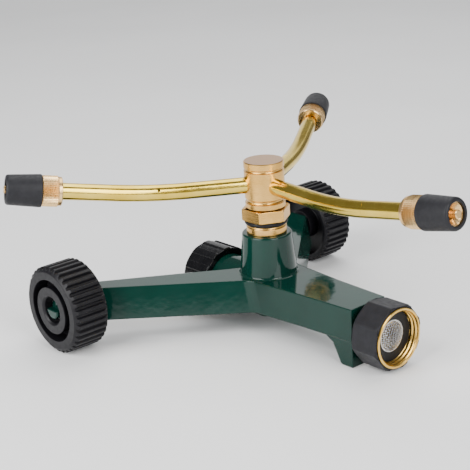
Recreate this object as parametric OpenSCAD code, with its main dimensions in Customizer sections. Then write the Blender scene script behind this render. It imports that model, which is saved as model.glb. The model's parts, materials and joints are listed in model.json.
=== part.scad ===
// Three-arm revolving lawn sprinkler on a wheeled die-cast base.
// Millimetres, +Z up. The rotor turns about a vertical axis above the hub. The hose inlet
// points to -Y, the capped outlet points to +Y, and the two wheels stand at -X and +X.

/* [Base casting] */
// Height of the flat tops of the three legs
leg_top = 29.8; // [29:0.1:31]
// Height of the underside of the front leg
leg_bottom = 13; // [12:0.1:13.5]
// How far each side of a wheel leg leans out from its top to its underside
leg_draft = 3; // [1:0.1:3.5]
// Width of the front leg at its outer end
front_leg_w = 23.2; // [22:0.1:26]
// Width of the front leg halfway along
front_waist_w = 26.6; // [26:0.1:28]
// Distance from the spin axis to the end face of the front leg
front_leg_len = 68.9; // [67:0.1:72]
// Radius of the tower at its rim
tower_r = 12.75; // [12.3:0.05:13.5]
// Radius of the tower where it stands on the legs
tower_root_r = 14.6; // [14:0.1:15.5]
// Height of the tower's rim
tower_top = 51.3; // [50:0.1:53]
// Radius of the round inside corners between the front leg and the wheel legs
corner_r = 10; // [6:0.5:12]

/* [Wheels] */
// Radius over the tread ribs
wheel_r = 22.6; // [21:0.1:24]
// Width of a wheel from its inboard face to its outer face
wheel_w = 20.3; // [18:0.1:22]
// Distance from the spin axis to a wheel's inboard face
wheel_in = 77.1; // [77:0.1:79]
// How far the axles lie behind the spin axis
wheel_back = 56.1; // [54:0.1:58]
// Number of tread ribs
rib_count = 36; // [24:1:48]
// Radius of the cast axle stubs
axle_r = 4.6; // [4:0.1:5]

/* [Hose ports] */
// Height of the inlet's axis
inlet_z = 17.2; // [17.1:0.1:18]
// Height of the outlet's axis
outlet_z = 18; // [17.5:0.1:19]
// Radius over the corners of the octagonal inlet grip
grip_r = 16.6; // [16.2:0.1:17]
// Outer radius of the threaded brass insert
insert_r = 14.75; // [14.5:0.05:15]
// Radius of the insert's thread crests
inlet_thread_r = 12.9; // [12.6:0.05:13.2]
// Radius of the outlet's male thread
outlet_thread_r = 13.2; // [12.8:0.1:13.4]
// Length of the outlet boss from the spin axis
outlet_len = 45; // [42:0.5:48]
// Radius over the ribs of the outlet cap
cap_r = 16.9; // [16.2:0.1:17.2]
// Length of the outlet cap
cap_len = 18.6; // [17.6:0.1:22]

/* [Rotor] */
// Radius of the rotor head
head_r = 10.2; // [9.8:0.1:11]
// Height of the rotor head's underside
head_low = 64.8; // [64.7:0.1:65.2]
// Height of the rotor head's flat top
head_top = 88.8; // [87:0.1:92]
// Height of the three arm tubes where they leave the head
arm_z = 76.4; // [75.5:0.1:77]
// Radius of the arm tubes
tube_r = 4.17; // [4:0.01:4.4]
// Wall thickness of the arm tubes
tube_wall = 0.8; // [0.6:0.1:1.2]
// Compass angles of the three arms, counter-clockwise from +X
arm_angles = [146.9, 263.6, 29.3];
// Distance from the spin axis to the middle of each arm's bend
arm_bend_at = 56.8; // [52:0.1:62]
// Radius of the bend
bend_r = 200; // [60:5:220]
// Sideways turn at the bend
arm_turn = 5.9; // [1:0.1:8]
// Rise of the outer part of each arm above level
arm_rise = 9.2; // [6:0.1:12]
// Length from the bend to the nozzle
arm_outer_len = 44.9; // [40:0.1:50]

/* [Nozzles] */
// Length of a nozzle without its pin
nozzle_len = 27.1; // [26.5:0.1:28]
// Radius of the knurled collar
collar_r = 7.6; // [7.3:0.1:7.8]
// Radius of the rubber sleeve next to the collar
sleeve_r = 8.15; // [7.9:0.05:8.5]
// Radius of the rubber sleeve at its tip
sleeve_tip_r = 7.4; // [7.2:0.05:7.8]
// Radius of the jet pin
pin_r = 1.9; // [1.7:0.1:2]

/* [Hidden] */
$fn = 96;

// Place of the spin axis, so that the origin lies under the middle of the whole object
spin_x = 1.22;
spin_y = 24.94;

// Plan of the right wheel leg's top: root and tip of its front edge, then tip and root of its back edge
leg_front_root = [16.3, -3.3];
leg_tip_x = 75.5;
leg_front_tip = [leg_tip_x, 49.2];
leg_back_tip = [leg_tip_x, 61.1];
leg_back_root = [0, 9.5];
front_waist_y = -37;
wheel_leg_bottom = leg_bottom + 0.5;
slab = 0.02;
// Unit vectors out of the sides of the front leg and of the right wheel leg that meet in a corner
front_normal = side_normal(leg_front_root, [front_waist_w / 2, front_waist_y], -1);
leg_normal = side_normal(leg_front_root, leg_front_tip, 1);
corner_bite = 0.01;
front_leg_rear = 4;
pocket_roof = 3.2;

// Side view of the foot under the front leg's end: distance from the spin axis, then height
foot_back = 50.8;
foot_knee = [56.3, 9.9];
foot_heel = [61.2, 0.5];
foot_sole = 62.4;

tower_bore_r = 9.45;
tower_bore_z = 34;
water_r = 7;
water_floor = 15.8;
front_channel_r = 4;
front_channel_z = 18.5;
root_fillet = 1.1;
rim_round = 0.8;

axle_recess = 0.5;
axle_step = 3.5;
axle_chamfer = 0.6;
axle_boss_r = 6;
wheel_gap = 0.2;
wheel_bore_r = axle_r + 0.08;
shoulder_z = 14.3;
counterbore_r = 6.9;
counterbore_lip = 1.1;
rib_depth = 1.5;
tread_r = wheel_r - rib_depth;
face_r = 20.1;
bevel_h = 1.8;
groove_in = 12.3;
groove_out = 16.1;
groove_depth = 8;
recess_in = 8.6;
recess_out = 18.6;
recess_depth = 7;
retainer_r = 6.4;
retainer_h = 0.8;

tail_r = 8;
tail_depth = 9;
tail_flange_r = 11.5;
tail_flange_z = [9.3, 11.3];
tail_bore_r = 5.5;
grip_back = 3.1;
grip_front = 18.8;
grip_bevel = 1.6;
insert_back = 5.6;
insert_wall = 3.5;
insert_front = 19.5;
insert_chamfer = 0.6;
lead_in = 2.05;
groove_count = 3;
groove_w = 1.3;
thread_pitch = 2.2;
thread_depth = 0.65;
washer_z = [11.4, 14.9];
washer_in = 8;
washer_out = 12.4;
dome_rise = 2.3;
dome_r = 7.6;
dome_skin = 0.45;
dome_ball_r = (dome_r * dome_r + dome_rise * dome_rise) / (2 * dome_rise);

outlet_bore_r = 7;
outlet_thread_start = 34;
cap_start = 32;
cap_bore_r = 13.55;
cap_rib_count = 12;
cap_rib_w = 4.2;
cap_rib_depth = 0.7;
cap_body_r = cap_r - cap_rib_depth;
cap_bevel = 1.2;
cap_washer_z = [outlet_len + 0.15, outlet_len + 2.5];
cap_floor_z = outlet_len + 2.6;
cap_washer_in = 6;
cap_washer_out = 12.8;

hex_low = 58.3;
hex_top = 64.5;
hex_corner_r = 12.7;
hex_angle = 31.6;
hex_bevel = 0.9;
collar_low = tower_top;
body_collar_r = 10.25;
body_step_r = 9.9;
body_groove_r = 8.7;
step_z = [54.9, 55.9];
shank_low = 41;
shank_r = tower_bore_r - 0.05;
spindle_r = 6;
spindle_bore_r = 4.2;
spindle_top = 71;
bearing_bore_r = spindle_r + 0.06;
thrust_r = 8.6;
thrust_z = [63.3, 64.7];
flange_z = [37.8, 39.8];
flange_r = 8.4;
washer_top = 40.9;
o_ring_wire = 1.18;
chamber_r = 4.6;
chamber_top = 82;
head_groove_low = [68.7, 1.2];
head_groove_high = [84.65, 0.85];
tube_start = 6.6;
bore_r = tube_r - tube_wall;
drip_hole_r = 0.65;
drip_at = 53.4;
drip_lift = 34;
// Angle of the bend, and the roll of its plane about the arm
bend_angle = acos(cos(arm_rise) * cos(arm_turn));
bend_roll = atan2(sin(arm_rise), cos(arm_rise) * sin(arm_turn));
bend_reach = bend_r * tan(bend_angle / 2);
bend_lap = 0.2;
bend_swell = 0.03;

ring_len = 1.7;
ring_r = 7.1;
collar_end = 9.7;
seat_r = 5.9;
rim_z = nozzle_len - 1.1;
rear_bore_r = 5.6;
rear_bore_len = 15;
jet_chamber_r = 4.4;
jet_chamber_end = 22;
orifice_r = pin_r + 0.32;
cup_r = 4.7;
lip_r = 5.3;
stem_r = 5.3;
stem_z = [1.6, 13.5];
stem_socket = 9;
port_r = 0.8;
port_ring_r = 3.3;
ring_wire = 0.34;
ring_z = 6;
ring_groove_r = 6.1;
pin_tip = nozzle_len + 0.75;

green = [0.10, 0.28, 0.24];
brass = [0.80, 0.64, 0.43];
tube_brass = [0.84, 0.72, 0.43];
black = [0.20, 0.20, 0.21];
grey_black = [0.27, 0.27, 0.29];
rubber = [0.16, 0.16, 0.17];
steel = [0.75, 0.75, 0.76];

// Unit vector at right angles to the line from a to b; hand 1 takes its right side, -1 its left
function side_normal(a, b, hand) = hand * [b[1] - a[1], a[0] - b[0]] / norm(b - a);

// The point out from the hub's corner that lies at the given distances from the two legs' sides
function off_corner(from_front, from_leg) = leg_front_root
    + [from_front * leg_normal[1] - from_leg * front_normal[1],
        from_leg * front_normal[0] - from_front * leg_normal[0]] / cross(front_normal, leg_normal);

// Moves geometry drawn around the spin axis into the object's frame
module place() {
    translate([spin_x, spin_y, 0]) children();
}

// Local +Z runs out of the inlet, from the front leg's end face
module at_inlet() {
    place() translate([0, -front_leg_len, inlet_z]) rotate([90, 0, 0]) children();
}

// Local +Z runs out of the outlet, from the spin axis
module at_outlet() {
    place() translate([0, 0, outlet_z]) rotate([-90, 0, 0]) children();
}

// Local +Z runs out along an axle from the wheel's inboard face; side is -1 left or 1 right
module at_wheel(side) {
    place() scale([side, 1, 1]) translate([wheel_in, wheel_back, wheel_r])
        rotate([0, 90, 0]) children();
}

// Local +X runs along arm k, with its origin at the bend
module at_arm(k) {
    place() rotate([0, 0, arm_angles[k - 1]]) translate([arm_bend_at, 0, arm_z])
        rotate([bend_roll, 0, 0]) children();
}

// Local +Z runs out along nozzle k from its rear end
module at_nozzle(k) {
    at_arm(k) rotate([0, 0, bend_angle]) translate([arm_outer_len, 0, 0])
        rotate([0, 90, 0]) children();
}

// A plain ring between two heights
module ring(inner, outer, z) {
    translate([0, 0, z[0]]) difference() {
        cylinder(r = outer, h = z[1] - z[0]);
        translate([0, 0, -1]) cylinder(r = inner, h = z[1] - z[0] + 2);
    }
}

// A round rubber ring: mean radius, wire radius and height
module o_ring(mean, wire, z) {
    translate([0, 0, z]) rotate_extrude() translate([mean, 0]) circle(r = wire);
}

module wheel_leg_plan() {
    polygon([leg_front_root, leg_front_tip, leg_back_tip, leg_back_root, [0, 0]]);
}

// One swept-back leg with leaning sides, ending in a flat face beside the wheel
module wheel_leg() {
    intersection() {
        hull() {
            translate([0, 0, leg_top - slab]) linear_extrude(slab) wheel_leg_plan();
            translate([0, 0, wheel_leg_bottom]) linear_extrude(slab)
                offset(delta = leg_draft) wheel_leg_plan();
        }
        translate([0, -60, 0]) cube([leg_tip_x, 160, 60]);
    }
}

// Open pocket under a wheel leg
module leg_pocket() {
    translate([0, 0, leg_bottom - 2]) linear_extrude(leg_top - leg_bottom + 2 - pocket_roof)
        polygon([[24, 8], [69, 48.5], [69, 55], [23.5, 21.5]]);
}

// Sweeps a flat shape from the round corner's centre at the legs' underside to that at their tops
module along_corner() {
    hull() {
        translate([0, 0, leg_top - slab]) linear_extrude(slab)
            translate(off_corner(corner_r, corner_r)) children();
        translate([0, 0, wheel_leg_bottom]) linear_extrude(slab)
            translate(off_corner(corner_r, corner_r + leg_draft)) children();
    }
}

// Rounds the inside corner between the front leg and a wheel leg, leaning as the wheel leg does
module corner_fillet() {
    reach = corner_r + 4;
    difference() {
        along_corner() polygon([[0, 0], -reach * front_normal, -reach * leg_normal]);
        along_corner() circle(r = corner_r + corner_bite, $fn = 180);
    }
}

module front_leg() {
    translate([0, 0, leg_bottom]) linear_extrude(leg_top - leg_bottom) polygon([
        [-leg_front_root[0], leg_front_root[1]], [-front_waist_w / 2, front_waist_y],
        [-front_leg_w / 2, -front_leg_len], [front_leg_w / 2, -front_leg_len],
        [front_waist_w / 2, front_waist_y], leg_front_root, [6, front_leg_rear],
        [-6, front_leg_rear]
    ]);
}

// Foot that the sprinkler stands on in front
module foot() {
    translate([-front_leg_w / 2, 0, 0]) rotate([90, 0, 90]) linear_extrude(front_leg_w) polygon([
        [-foot_back, leg_bottom + 2], [-foot_back, leg_bottom],
        [-foot_knee[0], foot_knee[1]], [-foot_heel[0], foot_heel[1]],
        [-foot_sole, 0], [-front_leg_len, 0], [-front_leg_len, leg_bottom + 2]
    ]);
}

// Round tower over the hub, with a small fillet at its foot and a rounded rim
module tower() {
    rotate_extrude() polygon(concat(
        [[0, leg_bottom], [tower_root_r - 1, leg_bottom], [tower_root_r - 1, leg_top - 1],
            [tower_root_r + root_fillet, leg_top - 1], [tower_root_r + root_fillet, leg_top]],
        [for (a = [255 : -15 : 180]) [tower_root_r + root_fillet * (1 + cos(a)),
            leg_top + root_fillet * (1 + sin(a))]],
        [for (a = [0 : 22.5 : 90]) [tower_r - rim_round * (1 - cos(a)),
            tower_top - rim_round * (1 - sin(a))]],
        [[0, tower_top]]
    ));
}

// Male hose thread as evenly spaced rings on a boss
module outlet_boss() {
    thread_root_r = outlet_thread_r - thread_depth;
    cylinder(r = outlet_thread_r, h = outlet_thread_start - 1.2);
    cylinder(r = thread_root_r, h = outlet_len);
    for (z = [outlet_thread_start : thread_pitch : outlet_len - thread_pitch])
        translate([0, 0, z]) rotate_extrude() polygon([
            [thread_root_r - 0.5, 0], [thread_root_r, 0], [outlet_thread_r, 0.6],
            [outlet_thread_r, 1.1], [thread_root_r, 1.7], [thread_root_r - 0.5, 1.7]
        ]);
}

// Axle stub on the leg's end; the upper half of its tip is stepped back
module axle_stub() {
    stub = wheel_w - axle_recess;
    root = wheel_in - leg_tip_x;
    difference() {
        union() {
            translate([0, 0, -root - 4]) cylinder(r = axle_r, h = stub + root + 4 - axle_chamfer);
            translate([0, 0, stub - axle_chamfer])
                cylinder(r1 = axle_r, r2 = axle_r - axle_chamfer, h = axle_chamfer);
        }
        translate([-axle_r - 1, -axle_r - 1, stub - axle_step])
            cube([axle_r + 1, 2 * axle_r + 2, axle_step + 1]);
    }
    translate([0, 0, -root - 4]) cylinder(r = axle_boss_r, h = root + 4 - wheel_gap);
}

// One-piece die casting: hub, tower, three legs, foot, outlet boss and axle stubs
module base_casting() {
    color(green) {
        difference() {
            union() {
                place() {
                    front_leg();
                    foot();
                    tower();
                    wheel_leg();
                    mirror([1, 0, 0]) wheel_leg();
                    corner_fillet();
                    mirror([1, 0, 0]) corner_fillet();
                }
                at_outlet() outlet_boss();
                at_wheel(-1) axle_stub();
                at_wheel(1) axle_stub();
            }
            place() {
                leg_pocket();
                mirror([1, 0, 0]) leg_pocket();
                translate([0, 0, tower_bore_z]) cylinder(r = tower_bore_r, h = 30);
                translate([0, 0, water_floor]) cylinder(r = water_r, h = 30);
                translate([0, 0, front_channel_z]) rotate([90, 0, 0])
                    cylinder(r = front_channel_r, h = front_leg_len);
            }
            at_inlet() translate([0, 0, -tail_depth]) cylinder(r = tail_r, h = 30);
            at_outlet() translate([0, 0, 2]) cylinder(r = outlet_bore_r, h = outlet_len);
        }
    }
}

// Hexagonal brass body that screws into the tower and carries the rotor
module bearing_body() {
    color(brass) place() difference() {
        union() {
            translate([0, 0, shank_low]) cylinder(r = shank_r, h = collar_low - shank_low);
            translate([0, 0, collar_low]) cylinder(r = body_collar_r, h = step_z[0] - collar_low);
            translate([0, 0, step_z[0]]) cylinder(r = body_step_r, h = step_z[1] - step_z[0]);
            translate([0, 0, step_z[1]]) cylinder(r = body_groove_r, h = hex_low - step_z[1]);
            intersection() {
                translate([0, 0, hex_low]) rotate([0, 0, hex_angle])
                    cylinder(r = hex_corner_r, h = hex_top - hex_low, $fn = 6);
                rotate_extrude() polygon([
                    [0, hex_low - 1], [hex_corner_r - hex_bevel - 2, hex_low - 1],
                    [hex_corner_r - hex_bevel + 2, hex_low + 1],
                    [hex_corner_r - hex_bevel + 2, hex_top - 1],
                    [hex_corner_r - hex_bevel - 2, hex_top + 1], [0, hex_top + 1]
                ]);
            }
        }
        translate([0, 0, shank_low - 1]) cylinder(r = bearing_bore_r, h = 30);
        translate([0, 0, thrust_z[0]]) cylinder(r = thrust_r + 0.1, h = 3);
    }
}

module tower_o_ring() {
    color(rubber) place()
        o_ring(body_groove_r + o_ring_wire, o_ring_wire, (step_z[1] + hex_low) / 2);
}

module thrust_washer() {
    color([0.9, 0.9, 0.88]) place() ring(bearing_bore_r, thrust_r, thrust_z);
}

// Push-on ring that keeps a wheel on its axle stub
module wheel_retainer(side) {
    color(steel) at_wheel(side)
        ring(axle_r, retainer_r, [shoulder_z + 0.2, shoulder_z + 0.2 + retainer_h]);
}

module wheel_retainer_left() {
    wheel_retainer(-1);
}

module wheel_retainer_right() {
    wheel_retainer(1);
}

// Tread rib seen along the axle
module tread_rib() {
    polygon([
        [tread_r - 1, -1.3], [tread_r, -1.25], [wheel_r, -0.75],
        [wheel_r, 0.75], [tread_r, 1.25], [tread_r - 1, 1.3]
    ]);
}

// Ribbed plastic wheel with a grooved outer face and a hollow inboard side
module wheel(side) {
    color(black) at_wheel(side) difference() {
        intersection() {
            linear_extrude(wheel_w) {
                circle(r = tread_r);
                for (i = [0 : rib_count - 1])
                    rotate(i * 360 / rib_count) tread_rib();
            }
            rotate_extrude() polygon([
                [0, 0], [face_r, 0], [wheel_r, bevel_h], [wheel_r, wheel_w - bevel_h],
                [face_r, wheel_w], [0, wheel_w]
            ]);
        }
        translate([0, 0, -1]) cylinder(r = wheel_bore_r, h = wheel_w + 2);
        translate([0, 0, shoulder_z]) cylinder(r = counterbore_r, h = wheel_w);
        translate([0, 0, wheel_w - counterbore_lip])
            cylinder(r1 = counterbore_r - 0.1, r2 = counterbore_r + counterbore_lip, h = 1.2);
        ring(groove_in, groove_out, [wheel_w - groove_depth, wheel_w + 1]);
        ring(recess_in, recess_out, [-1, recess_depth]);
    }
}

module wheel_left() {
    wheel(-1);
}

module wheel_right() {
    wheel(1);
}

// Brass tube fixed in the front leg; its flange carries the swivelling nut
module inlet_tailpiece() {
    color(brass) at_inlet() difference() {
        union() {
            translate([0, 0, -tail_depth]) cylinder(r = tail_r, h = tail_depth + tail_flange_z[1]);
            ring(tail_r - 1, tail_flange_r, tail_flange_z);
        }
        translate([0, 0, -tail_depth - 1]) cylinder(r = tail_bore_r, h = 40);
    }
}

module inlet_washer() {
    color(rubber) at_inlet() ring(washer_in, washer_out, washer_z);
}

// Domed strainer held in the washer
module inlet_filter() {
    color(steel) at_inlet() {
        ring(dome_r - 0.6, washer_in, [washer_z[0], washer_z[1] - 0.3]);
        intersection() {
            translate([0, 0, washer_z[1] - 0.4 + dome_rise - dome_ball_r]) difference() {
                sphere(r = dome_ball_r);
                sphere(r = dome_ball_r - dome_skin);
            }
            translate([0, 0, washer_z[1] - 0.9]) cylinder(r = dome_r, h = 10);
        }
    }
}

// Octagonal plastic grip around the threaded insert
module inlet_nut_grip() {
    color(grey_black) at_inlet() difference() {
        intersection() {
            translate([0, 0, grip_back]) rotate([0, 0, 15])
                cylinder(r = grip_r, h = grip_front - grip_back, $fn = 8);
            rotate_extrude() polygon([
                [0, grip_back - 1], [grip_r - grip_bevel - 1.5, grip_back - 1],
                [grip_r + 1, grip_back + grip_bevel], [grip_r + 1, grip_front - 1.9],
                [grip_r - 2, grip_front + 1.1], [0, grip_front + 1.1]
            ]);
        }
        translate([0, 0, insert_back]) cylinder(r = insert_r, h = 30);
        translate([0, 0, -1]) cylinder(r = tail_r + 0.6, h = 30);
    }
}

// Threaded brass insert that swivels on the tailpiece
module inlet_nut_insert() {
    floor_z = insert_back + insert_wall;
    land_z = insert_front - insert_chamfer - lead_in;
    color(brass) at_inlet() difference() {
        translate([0, 0, insert_back]) cylinder(r = insert_r, h = insert_front - insert_back);
        translate([0, 0, -1]) cylinder(r = tail_r + 0.08, h = 30);
        translate([0, 0, floor_z]) cylinder(r = inlet_thread_r, h = 30);
        for (i = [0 : groove_count - 1])
            translate([0, 0, land_z - groove_w - i * thread_pitch]) rotate_extrude() polygon([
                [inlet_thread_r - 1, 0], [inlet_thread_r, 0],
                [inlet_thread_r + thread_depth, 0.5], [inlet_thread_r + thread_depth, 0.8],
                [inlet_thread_r, groove_w], [inlet_thread_r - 1, groove_w]
            ]);
        translate([0, 0, insert_front - insert_chamfer])
            cylinder(r1 = inlet_thread_r, r2 = inlet_thread_r + 0.7, h = 0.7);
    }
}

// Ribbed plastic cap on the outlet
module outlet_cap() {
    cap_end = cap_start + cap_len;
    color(black) at_outlet() difference() {
        intersection() {
            translate([0, 0, cap_start]) linear_extrude(cap_len) {
                circle(r = cap_body_r);
                for (i = [0 : cap_rib_count - 1])
                    rotate(i * 360 / cap_rib_count)
                        translate([cap_body_r - 2, -cap_rib_w / 2])
                            square([cap_rib_depth + 3, cap_rib_w]);
            }
            rotate_extrude() polygon([
                [0, cap_start], [cap_r - 0.5, cap_start], [cap_r, cap_start + 0.5],
                [cap_r, cap_end - cap_bevel], [cap_r - cap_bevel, cap_end], [0, cap_end]
            ]);
        }
        translate([0, 0, cap_start - 1]) cylinder(r = cap_bore_r, h = cap_floor_z - cap_start + 1);
    }
}

module outlet_cap_washer() {
    color(rubber) at_outlet() ring(cap_washer_in, cap_washer_out, cap_washer_z);
}

// Turned head that feeds the three arms
module rotor_head() {
    color(brass) place() difference() {
        rotate_extrude() polygon([
            [0, head_low], [head_r - 0.3, head_low], [head_r, head_low + 0.3],
            [head_r, head_top - 0.4], [head_r - 0.4, head_top], [0, head_top]
        ]);
        for (groove = [head_groove_low, head_groove_high])
            o_ring(head_r, groove[1], groove[0]);
        translate([0, 0, head_low - 1]) cylinder(r = spindle_r, h = spindle_top - head_low + 1);
        translate([0, 0, head_low]) cylinder(r = chamber_r, h = chamber_top - head_low);
        for (angle = arm_angles)
            translate([0, 0, arm_z]) rotate([0, 90, angle]) {
                cylinder(r = bore_r, h = 20);
                translate([0, 0, tube_start]) cylinder(r = tube_r, h = 20);
            }
    }
}

// Hollow shaft that turns in the bearing body
module rotor_spindle() {
    color(brass) place() difference() {
        union() {
            translate([0, 0, flange_z[0]]) cylinder(r = spindle_r, h = spindle_top - flange_z[0]);
            translate([0, 0, flange_z[0]]) cylinder(r = flange_r, h = flange_z[1] - flange_z[0]);
        }
        translate([0, 0, flange_z[0] - 1]) cylinder(r = spindle_bore_r, h = 50);
    }
}

module spindle_washer() {
    color([0.9, 0.9, 0.88]) place() ring(spindle_r, flange_r, [flange_z[1], washer_top]);
}

// The arm's tube in its three stretches; the bend is a touch thicker and laps over the others
module tube_stretches() {
    straight = arm_bend_at - tube_start - bend_reach + bend_lap;
    translate([-arm_bend_at + tube_start, 0, 0]) rotate([0, 90, 0])
        ring(bore_r, tube_r, [0, straight]);
    translate([-bend_reach, bend_r, 0]) rotate([0, 0, -90])
        rotate_extrude(angle = bend_angle) translate([bend_r, 0]) difference() {
            circle(r = tube_r + bend_swell);
            circle(r = bore_r - bend_swell);
        }
    rotate([0, 0, bend_angle]) translate([bend_reach - bend_lap, 0, 0]) rotate([0, 90, 0])
        ring(bore_r, tube_r, [0, arm_outer_len + stem_socket - bend_reach + bend_lap]);
}

// Drawn brass tube with a small hole drilled in its side before the bend
module arm_tube(k) {
    color(tube_brass) difference() {
        at_arm(k) tube_stretches();
        place() rotate([0, 0, arm_angles[k - 1]]) translate([drip_at, 0, arm_z])
            rotate([drip_lift - 90, 0, 0]) cylinder(r = drip_hole_r, h = 10);
    }
}

module arm_tube_1() {
    arm_tube(1);
}

module arm_tube_2() {
    arm_tube(2);
}

module arm_tube_3() {
    arm_tube(3);
}

// Stem fixed on the tube's end; its long pin stands in the jet
module nozzle_stem(k) {
    color(brass) at_nozzle(k) difference() {
        union() {
            translate([0, 0, stem_z[0]]) cylinder(r = stem_r, h = stem_z[1] - stem_z[0]);
            cylinder(r = pin_r, h = pin_tip - 0.4);
            translate([0, 0, pin_tip - 0.4]) cylinder(r1 = pin_r, r2 = pin_r - 0.4, h = 0.4);
        }
        translate([0, 0, -1]) cylinder(r = tube_r, h = stem_socket + 1);
        for (i = [0 : 3])
            rotate([0, 0, 90 * i + 45]) translate([port_ring_r, 0, stem_socket - 1])
                cylinder(r = port_r, h = stem_z[1]);
    }
}

module nozzle_stem_1() {
    nozzle_stem(1);
}

module nozzle_stem_2() {
    nozzle_stem(2);
}

module nozzle_stem_3() {
    nozzle_stem(3);
}

module nozzle_o_ring(k) {
    color(rubber) at_nozzle(k) o_ring(stem_r + 0.05 + ring_wire, ring_wire, ring_z);
}

module nozzle_o_ring_1() {
    nozzle_o_ring(1);
}

module nozzle_o_ring_2() {
    nozzle_o_ring(2);
}

module nozzle_o_ring_3() {
    nozzle_o_ring(3);
}

// Brass barrel that screws along the stem to set the jet
module nozzle_barrel(k) {
    color(brass) at_nozzle(k) rotate_extrude() polygon([
        [rear_bore_r, 0], [ring_r - 0.3, 0], [ring_r, 0.3], [ring_r, ring_len],
        [collar_r - 0.4, ring_len], [collar_r, ring_len + 0.4], [collar_r, collar_end - 0.3],
        [collar_r - 0.3, collar_end], [seat_r, collar_end], [seat_r, rim_z],
        [cup_r, rim_z], [orifice_r, jet_chamber_end + 1.5], [orifice_r, jet_chamber_end],
        [jet_chamber_r, jet_chamber_end], [jet_chamber_r, rear_bore_len],
        [rear_bore_r, rear_bore_len], [rear_bore_r, ring_z + 0.6], [ring_groove_r, ring_z + 0.6],
        [ring_groove_r, ring_z - 0.6], [rear_bore_r, ring_z - 0.6]
    ]);
}

module nozzle_barrel_1() {
    nozzle_barrel(1);
}

module nozzle_barrel_2() {
    nozzle_barrel(2);
}

module nozzle_barrel_3() {
    nozzle_barrel(3);
}

// Rubber grip sleeve around the barrel, with a thin lip over the barrel's rim
module nozzle_sleeve(k) {
    color(rubber) at_nozzle(k) rotate_extrude() polygon([
        [seat_r, collar_end], [sleeve_r - 0.4, collar_end], [sleeve_r, collar_end + 0.4],
        [sleeve_tip_r, nozzle_len - 0.8], [sleeve_tip_r - 0.8, nozzle_len],
        [lip_r + 0.2, nozzle_len], [lip_r, nozzle_len - 0.2], [lip_r, rim_z], [seat_r, rim_z]
    ]);
}

module nozzle_sleeve_1() {
    nozzle_sleeve(1);
}

module nozzle_sleeve_2() {
    nozzle_sleeve(2);
}

module nozzle_sleeve_3() {
    nozzle_sleeve(3);
}

base_casting();
bearing_body();
tower_o_ring();
thrust_washer();
wheel_retainer_left();
wheel_retainer_right();
inlet_tailpiece();
inlet_washer();
inlet_filter();
inlet_nut_grip();
inlet_nut_insert();
outlet_cap();
outlet_cap_washer();
wheel_left();
wheel_right();
rotor_head();
rotor_spindle();
spindle_washer();
arm_tube_1();
arm_tube_2();
arm_tube_3();
nozzle_stem_1();
nozzle_stem_2();
nozzle_stem_3();
nozzle_o_ring_1();
nozzle_o_ring_2();
nozzle_o_ring_3();
nozzle_barrel_1();
nozzle_barrel_2();
nozzle_barrel_3();
nozzle_sleeve_1();
nozzle_sleeve_2();
nozzle_sleeve_3();
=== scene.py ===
"""Looks for a three-arm revolving lawn sprinkler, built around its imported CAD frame.

Everything is in metres in the CAD's own frame: +Z up, the hose inlet towards -Y, the wheels
at -X and +X.
"""

import json
import math

import bmesh
import bpy
from mathutils import Matrix, Vector

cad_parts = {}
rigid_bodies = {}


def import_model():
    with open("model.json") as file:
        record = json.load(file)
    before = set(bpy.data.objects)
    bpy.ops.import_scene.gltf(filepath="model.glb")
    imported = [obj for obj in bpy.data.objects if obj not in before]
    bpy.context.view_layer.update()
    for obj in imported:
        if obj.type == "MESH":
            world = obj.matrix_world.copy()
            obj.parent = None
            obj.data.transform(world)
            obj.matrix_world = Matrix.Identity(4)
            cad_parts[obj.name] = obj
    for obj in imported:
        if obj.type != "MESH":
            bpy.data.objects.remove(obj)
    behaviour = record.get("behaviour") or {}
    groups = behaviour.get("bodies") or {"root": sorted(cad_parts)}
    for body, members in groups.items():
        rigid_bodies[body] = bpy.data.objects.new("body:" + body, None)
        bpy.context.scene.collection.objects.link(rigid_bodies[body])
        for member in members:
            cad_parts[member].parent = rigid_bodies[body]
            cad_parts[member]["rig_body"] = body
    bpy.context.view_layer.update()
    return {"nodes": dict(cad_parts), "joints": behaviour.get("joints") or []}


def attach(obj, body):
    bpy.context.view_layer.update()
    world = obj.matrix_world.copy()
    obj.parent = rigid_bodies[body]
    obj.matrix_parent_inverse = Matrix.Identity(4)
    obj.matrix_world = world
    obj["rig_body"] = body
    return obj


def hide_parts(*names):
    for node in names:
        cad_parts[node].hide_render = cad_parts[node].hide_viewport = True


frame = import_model()

MM = 0.001
JOINTS = {j["name"]: j for j in frame["joints"]}
SPIN = Vector(JOINTS["rotor_spin"]["pos_m"])
INLET = Vector(JOINTS["inlet_swivel"]["pos_m"])
ARMS = (1, 2, 3)


# ---------------------------------------------------------------- mesh helpers

WELD_M = 1e-7          # lathe points this close are one point
CAD_WELD_M = 3e-6      # and so are CAD points this close
SLIVER_M = 5e-5        # CAD faces thinner than this are closed up
FLAT_DEG = 0.5         # CAD faces that meet at less than this are one face


def frame_along(origin, axis):
    """A matrix whose local +Z runs along axis from origin."""
    turn = Vector(axis).to_track_quat("Z", "Y").to_matrix().to_4x4()
    return Matrix.Translation(origin) @ turn


def finish_mesh(name, bm, sharp_deg=35.0):
    """Turns a bmesh into an object with smooth faces and sharp creases."""
    bmesh.ops.recalc_face_normals(bm, faces=bm.faces)
    mesh = bpy.data.meshes.new(name)
    bm.to_mesh(mesh)
    bm.free()
    mesh.shade_smooth()
    mesh.set_sharp_from_angle(angle=math.radians(sharp_deg))
    piece = bpy.data.objects.new(name, mesh)
    bpy.context.scene.collection.objects.link(piece)
    return piece


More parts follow.
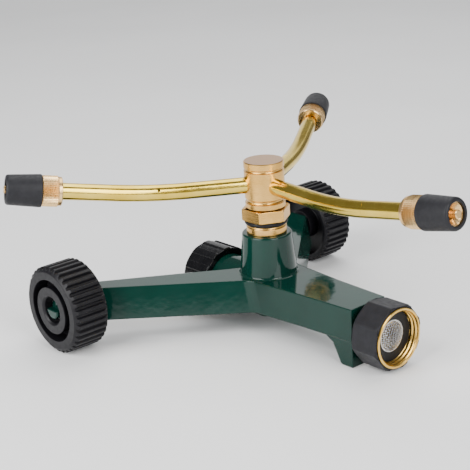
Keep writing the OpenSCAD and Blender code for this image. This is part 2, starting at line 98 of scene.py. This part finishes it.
def lathe(name, profile, place, segments=128, shift=None, sharp_deg=35.0):
    """A closed profile of (radius, height) in mm turned about local +Z.

    shift(i, turn, radius, height) may move profile point i in and out at each part of the turn.
    """
    bm = bmesh.new()
    rings = []
    for s in range(segments):
        turn = 2 * math.pi * s / segments
        ring = []
        for i, (radius, height) in enumerate(profile):
            r = radius if shift is None else shift(i, turn, radius, height)
            co = Vector((r * math.cos(turn), r * math.sin(turn), height)) * MM
            ring.append(bm.verts.new(place @ co))
        rings.append(ring)
    count = len(profile)
    for s in range(segments):
        here, there = rings[s], rings[(s + 1) % segments]
        for i in range(count):
            j = (i + 1) % count
            bm.faces.new((here[i], there[i], there[j], here[j]))
    bmesh.ops.remove_doubles(bm, verts=bm.verts, dist=WELD_M)
    return finish_mesh(name, bm, sharp_deg)


def rounded(profile, radius, steps=4):
    """The closed profile with every corner rounded by up to radius, in mm."""
    out = []
    count = len(profile)
    for i in range(count):
        here = Vector(profile[i])
        before = Vector(profile[i - 1]) - here
        after = Vector(profile[(i + 1) % count]) - here
        reach = min(radius, 0.45 * before.length, 0.45 * after.length)
        start = here + before.normalized() * reach
        end = here + after.normalized() * reach
        for s in range(steps + 1):
            t = s / steps
            point = start * (1 - t) ** 2 + here * 2 * t * (1 - t) + end * t ** 2
            out.append((point.x, point.y))
    return out


def eased(node, width_mm, steps=2, angle_deg=30.0):
    """A CAD node's own shape, with the edges sharper than angle_deg rounded."""
    bm = bmesh.new()
    bm.from_mesh(frame["nodes"][node].data)
    bmesh.ops.remove_doubles(bm, verts=bm.verts, dist=CAD_WELD_M)
    bmesh.ops.dissolve_degenerate(bm, dist=SLIVER_M, edges=bm.edges)
    bmesh.ops.dissolve_limit(bm, angle_limit=math.radians(FLAT_DEG), verts=bm.verts,
                             edges=bm.edges)
    sharp = [e for e in bm.edges
             if len(e.link_faces) == 2 and e.calc_face_angle(0.0) > math.radians(angle_deg)]
    bmesh.ops.bevel(bm, geom=sharp, offset=width_mm * MM, offset_type="OFFSET", segments=steps,
                    profile=0.5, affect="EDGES", clamp_overlap=False)
    piece = finish_mesh(node + "_eased", bm, 50.0)
    smooth = piece.modifiers.new("face_weighted", "WEIGHTED_NORMAL")
    smooth.keep_sharp = True
    return piece


def coat(node, material):
    """Gives a CAD node that stays as it is another material in its slot."""
    frame["nodes"][node].data.materials[0] = material


def stand_for(piece, node, material):
    """Puts a new piece in a CAD node's place."""
    piece.data.materials.clear()
    piece.data.materials.append(material)
    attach(piece, frame["nodes"][node]["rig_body"])
    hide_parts(node)
    return piece


# ------------------------------------------------------------------- materials

class Shader:
    """A node material around one Principled shader, built from short calls."""

    def __init__(self, name, **values):
        self.material = bpy.data.materials.new(name)
        self.material.use_nodes = True
        self.nodes = self.material.node_tree.nodes
        self.links = self.material.node_tree.links
        self.surface = self.nodes["Principled BSDF"]
        for socket, value in values.items():
            self.surface.inputs[socket.replace("_", " ")].default_value = value
        self.place = self.nodes.new("ShaderNodeTexCoord").outputs["Object"]

    def add(self, kind, inputs=None, **settings):
        node = self.nodes.new(kind)
        for key, value in settings.items():
            setattr(node, key, value)
        for key, value in (inputs or {}).items():
            socket = node.inputs[key]
            if isinstance(value, bpy.types.NodeSocket):
                self.links.new(value, socket)
            else:
                socket.default_value = value
        return node

    def noise(self, scale, detail=3.0, vector=None):
        return self.add("ShaderNodeTexNoise", {
            "Vector": vector or self.place, "Scale": scale, "Detail": detail}).outputs["Fac"]

    def stretched(self, axis, along, across):
        """Coordinates scaled by along on the given axis and by across at right angles to it."""
        turn = Vector(axis).rotation_difference(Vector((0, 0, 1))).to_euler()
        turned = self.add("ShaderNodeMapping", {
            "Vector": self.place, "Rotation": turn}, vector_type="POINT").outputs["Vector"]
        return self.add("ShaderNodeMapping", {
            "Vector": turned, "Scale": (across, across, along)},
            vector_type="POINT").outputs["Vector"]

    def colour(self, fac, low, high, start=0.3, end=0.7):
        ramp = self.add("ShaderNodeValToRGB", {"Fac": fac})
        ramp.color_ramp.elements[0].position = start
        ramp.color_ramp.elements[0].color = (*low, 1)
        ramp.color_ramp.elements[1].position = end
        ramp.color_ramp.elements[1].color = (*high, 1)
        self.links.new(ramp.outputs["Color"], self.surface.inputs["Base Color"])

    def roughness(self, fac, low, high):
        span = self.add("ShaderNodeMapRange", {
            "Value": fac, "From Min": 0.3, "From Max": 0.7, "To Min": low, "To Max": high})
        self.links.new(span.outputs["Result"], self.surface.inputs["Roughness"])

    def bump(self, height, depth_mm, strength=1.0, under=None):
        inputs = {"Height": height, "Distance": depth_mm * MM, "Strength": strength}
        if under is not None:
            inputs["Normal"] = under
        normal = self.add("ShaderNodeBump", inputs).outputs["Normal"]
        self.links.new(normal, self.surface.inputs["Normal"])
        return normal

    def sawn_top_with_painted_shade(self, tint, rough):
        """Gives the faces that look straight up a darker pinkish tint, which is painted shade
        for the darker reflection there, and a rougher finish for the tool-marked sawn end.
        """
        normal = self.nodes.new("ShaderNodeNewGeometry").outputs["True Normal"]
        height = self.add("ShaderNodeSeparateXYZ", {"Vector": normal}).outputs["Z"]
        # Faces are picked by which way they face: the tint is painted shade for a darker
        # reflection, and the roughness is the sawn end's real tool marks.
        up = self.add("ShaderNodeMapRange", {
            "Value": height, "From Min": 0.97, "From Max": 0.99}).outputs["Result"]
        for name, value in (("Base Color", (*tint, 1)), ("Roughness", (rough, rough, rough, 1))):
            socket = self.surface.inputs[name]
            mixed = self.add("ShaderNodeMixRGB", {
                "Fac": up, "Color1": socket.links[0].from_socket, "Color2": value})
            self.links.new(mixed.outputs["Color"], socket)


EDGE_R = 1.0           # of the painted casting's edges, in mm
# Painted shade: a darker pinkish tint on the brass head's up-facing faces stands in for the
# darker reflection there; the roughness is the sawn end's real tool-marked finish.
TOP_PAINTED_SHADE_TINT, SAWN_ROUGHNESS = (0.50, 0.33, 0.21), 0.42


def green_paint():
    """Thick gloss paint on a die casting: rounded edges and a faint orange-peel ripple."""
    s = Shader("gloss_green_paint", IOR=1.38)
    s.colour(s.noise(45, 2), (0.0010, 0.022, 0.0155), (0.0018, 0.029, 0.0205))
    s.roughness(s.noise(160, 3), 0.05, 0.09)
    soft_edges = s.add("ShaderNodeBevel", {"Radius": EDGE_R * MM}, samples=8).outputs["Normal"]
    ripple = s.bump(s.noise(230, 1), 0.05, 0.5, soft_edges)
    s.bump(s.noise(900, 2), 0.008, 0.4, ripple)
    return s.material


def turned_brass(name, axis, low=(0.64, 0.36, 0.09), high=(0.78, 0.47, 0.14), sawn_end_with_painted_shade=False):
    """Machined brass with fine tool lines around its axis and, when asked, a rougher sawn end
    whose up-facing faces carry a darker painted shade tint.
    """
    s = Shader(name, Metallic=1.0)
    rings = s.noise(1.0, 4, s.stretched(axis, 5200, 40))
    s.colour(s.noise(120, 3), low, high)
    s.roughness(rings, 0.20, 0.34)
    s.bump(rings, 0.012, 0.6)
    # Adds the painted shade tint and the rougher sawn finish to the up-facing end.
    if sawn_end_with_painted_shade:
        s.sawn_top_with_painted_shade(TOP_PAINTED_SHADE_TINT, SAWN_ROUGHNESS)
    return s.material


def drawn_brass(name, axis):
    """Drawn tube: faint lines along its length, and a little tarnish."""
    s = Shader(name, Metallic=1.0)
    lines = s.noise(1.0, 4, s.stretched(axis, 25, 2600))
    s.colour(s.noise(60, 4), (0.68, 0.47, 0.06), (0.84, 0.62, 0.12))
    s.roughness(lines, 0.12, 0.22)
    s.bump(lines, 0.006, 0.5)
    return s.material


def moulded_plastic(name, low, high, rough=(0.36, 0.5)):
    """Black moulded plastic with a fine spark-eroded grain."""
    s = Shader(name, IOR=1.33)
    s.colour(s.noise(220, 4), low, high)
    s.roughness(s.noise(500, 3), *rough)
    s.bump(s.noise(2600, 2), 0.02, 0.35)
    return s.material


def soft_rubber(name, low, high):
    """Matt black rubber with a fine texture."""
    s = Shader(name, IOR=1.34)
    s.colour(s.noise(300, 4), low, high)
    s.roughness(s.noise(700, 3), 0.42, 0.6)
    s.bump(s.noise(1800, 3), 0.03, 0.4)
    return s.material


def bright_steel():
    """Stainless wire and spring rings."""
    s = Shader("strainer_wire", Metallic=1.0)
    s.colour(s.noise(900, 3), (0.46, 0.45, 0.44), (0.66, 0.64, 0.62))
    s.roughness(s.noise(600, 2), 0.2, 0.32)
    s.bump(s.noise(2400, 2), 0.01, 0.4)
    return s.material


def white_nylon():
    """The bearing washers' smooth off-white plastic."""
    s = Shader("bearing_nylon", IOR=1.5)
    s.colour(s.noise(300, 3), (0.70, 0.70, 0.66), (0.80, 0.80, 0.77))
    s.roughness(s.noise(500, 2), 0.35, 0.5)
    s.bump(s.noise(1500, 2), 0.01, 0.3)
    return s.material


# ---------------------------------------------------------------------- pieces

def base():
    coat("base_casting", green_paint())


def rotor(brass_up):
    coat("rotor_head", turned_brass("rotor_head_brass", (0, 0, 1), sawn_end_with_painted_shade=True))
    coat("rotor_spindle", brass_up)
    stand_for(eased("bearing_body", 0.35, 2), "bearing_body", brass_up)
    for k in ARMS:
        axis = JOINTS[f"nozzle_turn_{k}"]["axis"]
        coat(f"arm_tube_{k}", drawn_brass(f"drawn_brass_{k}", axis))


def wheels(plastic):
    for side in ("left", "right"):
        stand_for(eased(f"wheel_{side}", 0.22, 2), f"wheel_{side}", plastic)


# Nozzle sizes in mm, counted along the nozzle from its rear end
NOZZLE_LENGTH = 27.1
NOZZLE_PIVOT = 10.0
RING_R, RING_LENGTH = 7.1, 1.7
COLLAR_R, COLLAR_END = 7.6, 9.7
KNURL_TEETH, KNURL_DEPTH = 48, 0.55
SEAT_R, RIM_Z = 5.9, NOZZLE_LENGTH - 1.1
REAR_BORE_R, FRONT_BORE_R, JET_R = 5.6, 4.4, 2.22
BORE_STEP_Z, JET_Z = 15, 22
SLEEVE_MOUTH_R, SLEEVE_FIT = 5.3, 0.02


def nozzle(k, rubber):
    joint = JOINTS[f"nozzle_turn_{k}"]
    axis = Vector(joint["axis"])
    place = frame_along(Vector(joint["pos_m"]) - axis * NOZZLE_PIVOT * MM, axis)
    brass = turned_brass(f"nozzle_brass_{k}", axis, (0.72, 0.46, 0.20), (0.84, 0.58, 0.28))
    profile = [
        (REAR_BORE_R, 0), (RING_R - 0.3, 0), (RING_R, 0.3), (RING_R, RING_LENGTH),
        (COLLAR_R - 0.6, RING_LENGTH), (COLLAR_R, RING_LENGTH + 0.5),
        (COLLAR_R, COLLAR_END - 0.5), (COLLAR_R - 0.5, COLLAR_END), (SEAT_R, COLLAR_END),
        (SEAT_R, RIM_Z - 0.2), (SEAT_R - 0.2, RIM_Z), (4.75, RIM_Z), (4.4, RIM_Z - 0.5),
        (JET_R, RIM_Z - 2.5), (JET_R, JET_Z), (FRONT_BORE_R, JET_Z),
        (FRONT_BORE_R, BORE_STEP_Z), (REAR_BORE_R, BORE_STEP_Z)]
    knurled = (profile.index((COLLAR_R, RING_LENGTH + 0.5)),
               profile.index((COLLAR_R, COLLAR_END - 0.5)))

    def tooth(i, turn, radius, height):
        if i not in knurled:
            return radius
        wave = abs((turn * KNURL_TEETH / (2 * math.pi)) % 1.0 - 0.5) * 2
        return radius - KNURL_DEPTH * wave

    barrel = lathe(f"nozzle_barrel_{k}_knurled", profile, place, KNURL_TEETH * 6, tooth, 22.0)
    stand_for(barrel, f"nozzle_barrel_{k}", brass)
    sleeve_profile = rounded([
        (SEAT_R + SLEEVE_FIT, COLLAR_END + SLEEVE_FIT), (7.75, COLLAR_END + SLEEVE_FIT),
        (8.12, COLLAR_END + 0.4), (7.38, 26.3), (6.6, NOZZLE_LENGTH),
        (SLEEVE_MOUTH_R, NOZZLE_LENGTH), (SLEEVE_MOUTH_R, RIM_Z + 0.05),
        (SEAT_R + SLEEVE_FIT, RIM_Z + 0.05)], 0.5)
    sleeve = lathe(f"nozzle_sleeve_{k}_soft", sleeve_profile, place, 96)
    stand_for(sleeve, f"nozzle_sleeve_{k}", rubber)
    coat(f"nozzle_stem_{k}", brass)


# Inlet sizes in mm, counted out along the inlet from the front leg's end face
INLET_PIVOT = 9.1
INSERT_R, INSERT_BACK, INSERT_FRONT = 14.75, 5.6, 19.5
INSERT_HOLE_R, INSERT_FLOOR, INSERT_EDGE = 8.1, 3.5, 0.25
THREAD_CREST_R, THREAD_PITCH, THREAD_DEPTH = 12.9, 2.2, 0.6
THREAD_SLICE = 0.2     # length of each ring of faces in the thread
DOME_R, DOME_RISE, DOME_BASE = 7.6, 2.3, 14.5
RIM_R, RIM_W, RIM_BACK, RIM_FRONT = 7.95, 0.8, 1.5, 0.25
WIRE_R, WIRE_STEP, WIRE_SIDES = 0.15, 1.05, 5


def threaded_insert(place, brass):
    """The swivel nut's brass insert with a real helical thread in its bore."""
    bore_end = INSERT_BACK + INSERT_FLOOR
    slices = int((INSERT_FRONT - 0.9 - bore_end) / THREAD_SLICE)
    bore = [(THREAD_CREST_R, INSERT_FRONT - 0.7 - THREAD_SLICE * i) for i in range(slices)]
    outside = [
        (INSERT_HOLE_R, INSERT_BACK), (INSERT_R, INSERT_BACK),
        (INSERT_R, INSERT_FRONT - INSERT_EDGE), (INSERT_R - INSERT_EDGE, INSERT_FRONT),
        (THREAD_CREST_R + 0.75, INSERT_FRONT)]
    profile = [*outside, *bore, (THREAD_CREST_R, bore_end), (INSERT_HOLE_R, bore_end)]

    def thread(i, turn, radius, height):
        if not len(outside) <= i < len(outside) + slices:
            return radius
        phase = (height / THREAD_PITCH + turn / (2 * math.pi)) % 1.0
        groove = max(0.0, 1.0 - abs(phase - 0.5) * 3.2)
        return radius + THREAD_DEPTH * min(1.0, groove * 1.4)

    piece = lathe("inlet_insert_threaded", profile, place, 160, thread, 40.0)
    stand_for(piece, "inlet_nut_insert", brass)


def strainer(place, steel):
    """A domed strainer of woven wire in a thin rim."""
    ball = (DOME_R ** 2 + DOME_RISE ** 2) / (2 * DOME_RISE)

    def dome(x, y):
        return DOME_BASE + math.sqrt(max(0.0, ball ** 2 - x * x - y * y)) - (ball - DOME_RISE)

    bm = bmesh.new()
    count = int(DOME_R / WIRE_STEP)
    for way in (0, 1):
        for row in range(-count, count + 1):
            offset = row * WIRE_STEP
            half = math.sqrt(max(0.0, DOME_R ** 2 - offset ** 2))
            steps = max(2, int(2 * half / (WIRE_STEP / 2)))
            last = None
            for s in range(steps + 1):
                run = -half + 2 * half * s / steps
                weave = math.cos(math.pi * run / WIRE_STEP) * (1 if (row + way) % 2 else -1)
                x, y = (run, offset) if way else (offset, run)
                centre = Vector((x, y, dome(x, y) + 0.6 * WIRE_R * weave))
                along = Vector((1, 0, 0)) if way else Vector((0, 1, 0))
                side = along.cross(Vector((0, 0, 1)))
                ring = []
                for c in range(WIRE_SIDES):
                    angle = 2 * math.pi * c / WIRE_SIDES
                    spot = centre + side * WIRE_R * math.cos(angle)
                    spot.z += WIRE_R * math.sin(angle)
                    ring.append(bm.verts.new(place @ (spot * MM)))
                if last:
                    for c in range(WIRE_SIDES):
                        d = (c + 1) % WIRE_SIDES
                        bm.faces.new((last[c], last[d], ring[d], ring[c]))
                else:
                    bm.faces.new(ring)
                last = ring
            bm.faces.new(last[::-1])
    piece = finish_mesh("strainer_weave", bm, 60.0)
    stand_for(piece, "inlet_filter", steel)
    rim_profile = rounded([
        (RIM_R - RIM_W, DOME_BASE - RIM_BACK), (RIM_R, DOME_BASE - RIM_BACK),
        (RIM_R, DOME_BASE + RIM_FRONT), (RIM_R - RIM_W, DOME_BASE + RIM_FRONT)], 0.15)
    rim = lathe("strainer_rim", rim_profile, place, 96)
    rim.data.materials.append(steel)
    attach(rim, "base")


def inlet(brass, plastic, rubber, steel):
    place = frame_along(INLET + Vector((0, INLET_PIVOT * MM, 0)), (0, -1, 0))
    stand_for(eased("inlet_nut_grip", 0.5, 3, 20.0), "inlet_nut_grip", plastic)
    threaded_insert(place, brass)
    strainer(place, steel)
    coat("inlet_tailpiece", brass)
    coat("inlet_washer", rubber)


def outlet(plastic, rubber):
    stand_for(eased("outlet_cap", 0.25, 2), "outlet_cap", plastic)
    coat("outlet_cap_washer", rubber)


def small_parts(rubber, nylon, steel):
    finishes = {
        "tower_o_ring": rubber, "thrust_washer": nylon, "spindle_washer": nylon,
        "wheel_retainer_left": steel, "wheel_retainer_right": steel}
    finishes.update({f"nozzle_o_ring_{k}": rubber for k in ARMS})
    for node, material in finishes.items():
        coat(node, material)


# ------------------------------------------------------------ camera and light

VIEW_AZIMUTH, VIEW_ELEVATION, VIEW_ROLL = -40.512, 18.755, -3.351
VIEW_DISTANCE = 0.620
VIEW_LENS = 93.2
# The point looked at, from the foot of the spin axis
LOOK_AT = Vector((-0.0124, 0.0106, 0.0500))


def direction(azimuth, elevation):
    """From the object towards a viewer at that azimuth and elevation."""
    a, e = math.radians(azimuth), math.radians(elevation)
    return Vector((math.sin(a) * math.cos(e), -math.cos(a) * math.cos(e), math.sin(e)))


def camera():
    data = bpy.data.cameras.new("camera")
    data.lens = VIEW_LENS
    data.sensor_width = 36.0
    data.clip_start = 0.01
    eye = bpy.data.objects.new("camera", data)
    back = direction(VIEW_AZIMUTH, VIEW_ELEVATION)
    target = Vector((SPIN.x, SPIN.y, 0)) + LOOK_AT
    turn = back.to_track_quat("Z", "Y").to_matrix().to_4x4()
    roll = Matrix.Rotation(math.radians(VIEW_ROLL), 4, "Z")
    eye.matrix_world = Matrix.Translation(target + back * VIEW_DISTANCE) @ turn @ roll
    bpy.context.scene.collection.objects.link(eye)
    bpy.context.scene.camera = eye


def softbox(name, azimuth, elevation, distance, width, height, glow):
    """A rectangular light that faces the sprinkler; glow is the brightness of its face."""
    data = bpy.data.lights.new(name, "AREA")
    data.shape = "RECTANGLE"
    data.size, data.size_y = width, height
    data.energy = glow * math.pi * width * height
    lamp = bpy.data.objects.new(name, data)
    back = direction(azimuth, elevation)
    centre = Vector((SPIN.x, SPIN.y, 0.04))
    turn = back.to_track_quat("Z", "Y").to_matrix().to_4x4()
    lamp.matrix_world = Matrix.Translation(centre + back * distance) @ turn
    bpy.context.scene.collection.objects.link(lamp)


# Each light: name, azimuth from the camera's, elevation, distance, width, height, glow
SOFTBOXES = (
    ("left_softbox", -53, 30, 1.0, 0.66, 0.90, 8.0),
    ("right_softbox", 33, 30, 1.0, 0.50, 0.90, 8.0),
    ("top_softbox", 160, 66, 1.2, 1.2, 1.0, 3.4),
    ("back_softbox", 180, 14, 1.9, 2.6, 1.0, 1.1))
SKY_COLOUR, SKY_GLOW = (0.9, 0.92, 0.95, 1), 0.24


def studio():
    for name, swing, *rest in SOFTBOXES:
        softbox(name, VIEW_AZIMUTH + swing, *rest)
    world = bpy.data.worlds.new("studio")
    world.use_nodes = True
    sky = world.node_tree.nodes["Background"]
    sky.inputs["Color"].default_value = SKY_COLOUR
    sky.inputs["Strength"].default_value = SKY_GLOW
    bpy.context.scene.world = world


FLOOR_REACH = 4.0      # from the middle to each side


def floor():
    mesh = bpy.data.meshes.new("floor")
    corners = [(x * FLOOR_REACH, y * FLOOR_REACH, 0)
               for x, y in ((-1, -1), (1, -1), (1, 1), (-1, 1))]
    mesh.from_pydata(corners, [], [(0, 1, 2, 3)])
    ground = bpy.data.objects.new("floor", mesh)
    bpy.context.scene.collection.objects.link(ground)
    s = Shader("pale_floor", Roughness=0.7)
    s.colour(s.noise(6, 2), (0.84, 0.84, 0.84), (0.87, 0.87, 0.87))
    mesh.materials.append(s.material)


# ------------------------------------------------------------------------ build

camera()
studio()
floor()
base()
brass_up = turned_brass("turned_brass_upright", (0, 0, 1))
brass_inlet = turned_brass("turned_brass_inlet", (0, 1, 0),
                           (0.72, 0.44, 0.10), (0.86, 0.57, 0.16))
steel = bright_steel()
seal = soft_rubber("seal_rubber", (0.004, 0.004, 0.005), (0.008, 0.008, 0.009))
sleeve = soft_rubber("sleeve_rubber", (0.008, 0.008, 0.010), (0.013, 0.013, 0.016))
tread = moulded_plastic("wheel_plastic", (0.0035, 0.0033, 0.0045), (0.0065, 0.0062, 0.0082))
cap_black = moulded_plastic("cap_plastic", (0.003, 0.003, 0.004), (0.006, 0.006, 0.007),
                            rough=(0.2, 0.3))
grip_black = moulded_plastic("grip_plastic", (0.008, 0.008, 0.010), (0.013, 0.013, 0.017),
                             rough=(0.42, 0.55))
rotor(brass_up)
wheels(tread)
for k in ARMS:
    nozzle(k, sleeve)
inlet(brass_inlet, grip_black, seal, steel)
outlet(cap_black, seal)
small_parts(seal, white_nylon(), steel)
